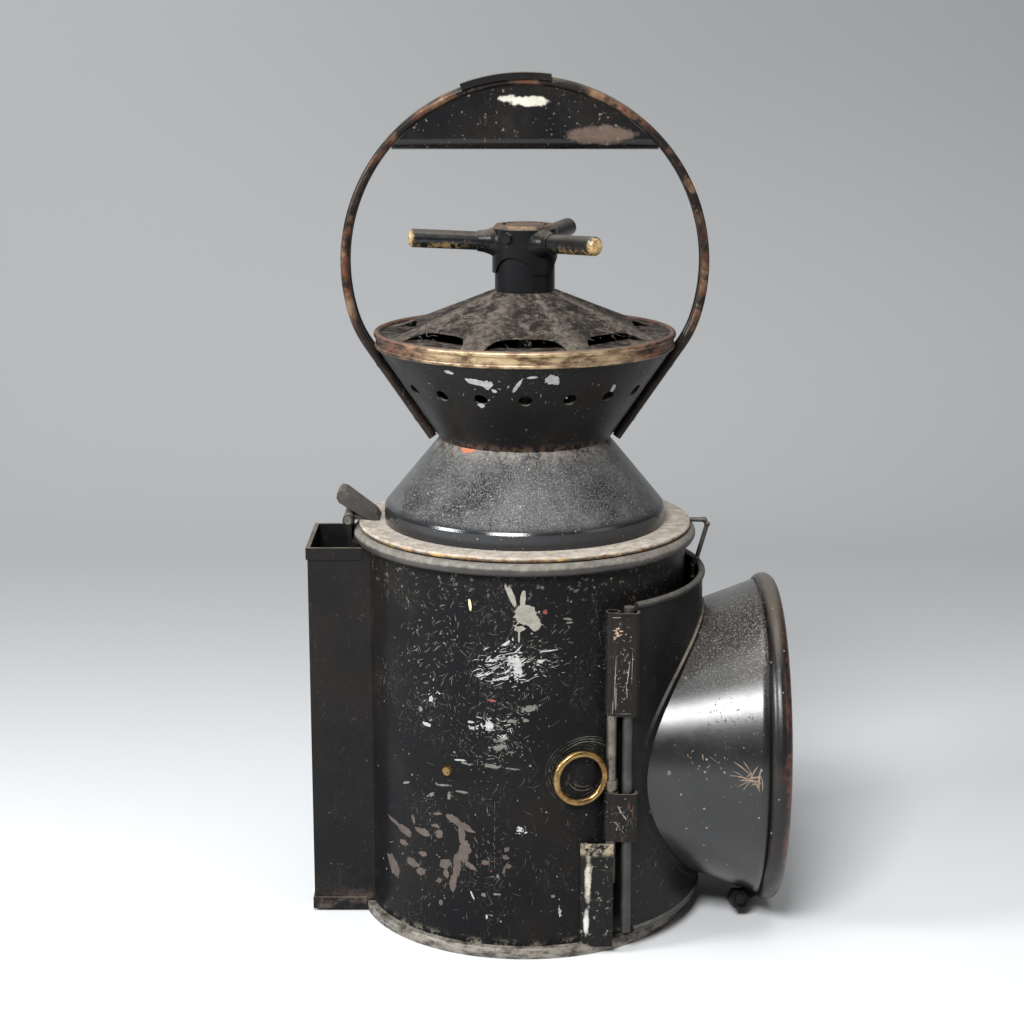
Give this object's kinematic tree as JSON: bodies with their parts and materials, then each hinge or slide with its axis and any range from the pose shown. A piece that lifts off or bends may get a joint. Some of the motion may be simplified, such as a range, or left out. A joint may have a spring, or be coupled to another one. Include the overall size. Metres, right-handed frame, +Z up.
{
  "type": "railway signal hand lamp",
  "caption": "Oil hand lamp with round body, flared lens hood on a hinged door, vented chimney lid, hoop handle, turning colour drum, rear bracket socket and ring-pull latch",
  "frame": {"origin": "Centre of the underside, on the body's axis, in the plane the lamp stands on.", "axes": "+Z up, +X the way the lens looks, -X the bracket socket; -Y is the side with the latch and its pull ring."},
  "size_m": [0.1817, 0.132, 0.3237],
  "materials": {
    "japan": "worn satin-gloss black japan",
    "rim_paint": "worn cream paint over steel",
    "dusty": "matt black with beige dust",
    "cone_paint": "dusty satin black",
    "copper_edge": "black worn to copper brown",
    "rim_brass": "worn, dull",
    "brass": "tarnished",
    "steel": "dull, oiled",
    "reflector": "polished tin plate, tarnished",
    "lens": "clear",
    "red": "clear red",
    "green": "clear green",
    "wick": "woven cotton",
    "tank": "dull lacquer"
  },
  "bodies": {
    "case": {"base_pan": "japan", "base_rim": "rim_paint", "body_shell": "japan", "shell_top_bead": "dusty", "body_rivets": "brass", "bracket_socket": "japan", "socket_bands": "japan", "lid_hinge_bracket": "japan", "lid_hinge_pin": "steel", "door_hinge_leaf": "japan", "door_hinge_pin": "steel", "latch_strip": "japan", "drum_track": "steel", "burner_tray": "steel", "oil_reservoir": "tank", "burner_collar": "brass", "wick_tube": "brass", "burner_cone": "brass", "reflector": "reflector", "reflector_bracket": "steel", "filler_cap": "brass"},
    "wick_body": {"wick": "wick"},
    "wick_raiser": {"wick_shaft": "brass", "wick_knob": "brass"},
    "drum": {"drum_frame": "japan", "drum_bottom_ring": "steel", "drum_top_ring": "steel", "drum_bridge": "steel", "red_glass": "red", "green_glass": "green", "glass_clips": "steel"},
    "lid": {"lid_flange": "dusty", "lid_collar": "japan", "lower_cone": "cone_paint", "chimney_bowl": "japan", "bowl_rim": "rim_brass", "crown_cap": "dusty", "neck_tube": "japan", "spindle_guide": "steel", "handle_hoop": "copper_edge", "handle_rivets": "copper_edge", "hand_grip": "japan", "grip_clip": "japan", "thumb_lever": "dusty", "lid_catch_wire": "dusty"},
    "knob": {"turn_knob": "japan", "knob_arms": "copper_edge", "spindle": "steel"},
    "lens_door": {"door_panel": "japan", "door_edge_roll": "copper_edge", "door_hinge_knuckles": "japan", "lens_hood": "japan", "hood_collar": "japan", "bezel_ring": "copper_edge", "lens": "lens", "lens_seat": "steel", "bezel_clamp": "japan", "latch_guides": "japan"},
    "latch": {"latch_pin": "steel", "pull_ring": "brass"}
  },
  "joints": [
    {"name": "lid_hinge", "type": "hinge", "parent": "case", "child": "lid", "pos_m": [-0.0676, 0, 0.1556], "axis": [0, -1, 0], "range_deg": [0, 95]},
    {"name": "knob_spin", "type": "hinge", "parent": "lid", "child": "knob", "pos_m": [0, 0, 0.2613], "axis": [0, 0, 1], "continuous": true},
    {"name": "drum_spin", "type": "hinge", "parent": "case", "child": "drum", "pos_m": [0, 0, 0.066], "axis": [0, 0, 1], "continuous": true},
    {"name": "door_hinge", "type": "hinge", "parent": "case", "child": "lens_door", "pos_m": [0.03616, 0.059, 0.07], "axis": [0, 0, 1], "range_deg": [0, 105]},
    {"name": "latch_slide", "type": "slide", "parent": "lens_door", "child": "latch", "axis": [0, 0, 1], "range_m": [0, 0.016]},
    {"name": "raiser_turn", "type": "hinge", "parent": "case", "child": "wick_raiser", "pos_m": [0, 0.0044, 0.046], "axis": [1, 0, 0], "range_deg": [-110, 110]},
    {"name": "wick_slide", "type": "slide", "parent": "case", "child": "wick_body", "axis": [0, 0, 1], "range_m": [-0.006, 0.006]}
  ],
  "couplings": [
    {"joint": "knob_spin", "follows": "drum_spin", "ratio": 1},
    {"joint": "wick_slide", "follows": "raiser_turn", "m_per_rad": -0.003}
  ]
}
